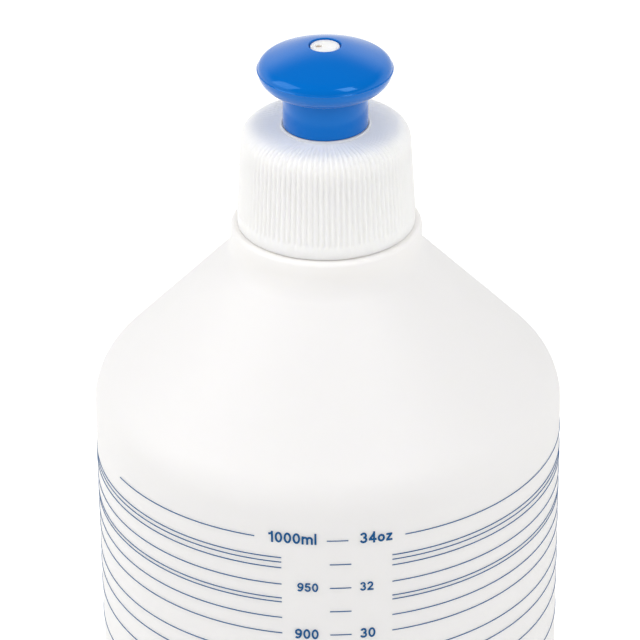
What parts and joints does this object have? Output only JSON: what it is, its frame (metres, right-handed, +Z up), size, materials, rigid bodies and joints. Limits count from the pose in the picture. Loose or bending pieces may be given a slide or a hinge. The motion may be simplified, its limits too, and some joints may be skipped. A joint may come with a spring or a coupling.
{
  "type": "dilution bottle",
  "caption": "Translucent round squeeze bottle for diluting concentrates, with a printed volume scale, a ribbed screw closure and a push-pull spout.",
  "frame": {"origin": "centre of the standing ring, on the surface that the bottle stands on", "axes": "+Z up along the bottle's axis, -Y out through the column of numbers on the printed scale"},
  "size_m": [0.0842, 0.0842, 0.2711],
  "materials": {
    "natural_polyethylene": "satin, translucent, uncoloured",
    "white_plastic": "satin moulded",
    "soft_foam": "fine closed-cell foam",
    "blue_plastic": "glossy moulded",
    "blue_ink": "screen-printed ink"
  },
  "bodies": {
    "bottle_body": {"bottle": "natural_polyethylene", "printed_scale": "blue_ink"},
    "washer": {"sealing_washer": "soft_foam"},
    "closure": {"screw_closure": "white_plastic"},
    "spout": {"push_pull_spout": "blue_plastic"}
  },
  "joints": [
    {"name": "closure_lift", "type": "slide", "parent": "bottle_body", "child": "washer", "axis": [0, 0, 1], "range_m": [0, 0.00635]},
    {"name": "closure_turn", "type": "hinge", "parent": "washer", "child": "closure", "pos_m": [0, 0, 0.2544], "axis": [0, 0, 1], "range_deg": [0, 540]},
    {"name": "spout_pull", "type": "slide", "parent": "closure", "child": "spout", "axis": [0, 0, 1], "range_m": [0, 0.0048]}
  ],
  "couplings": [
    {"joint": "closure_lift", "follows": "closure_turn", "m_per_rad": 0.00067323}
  ]
}
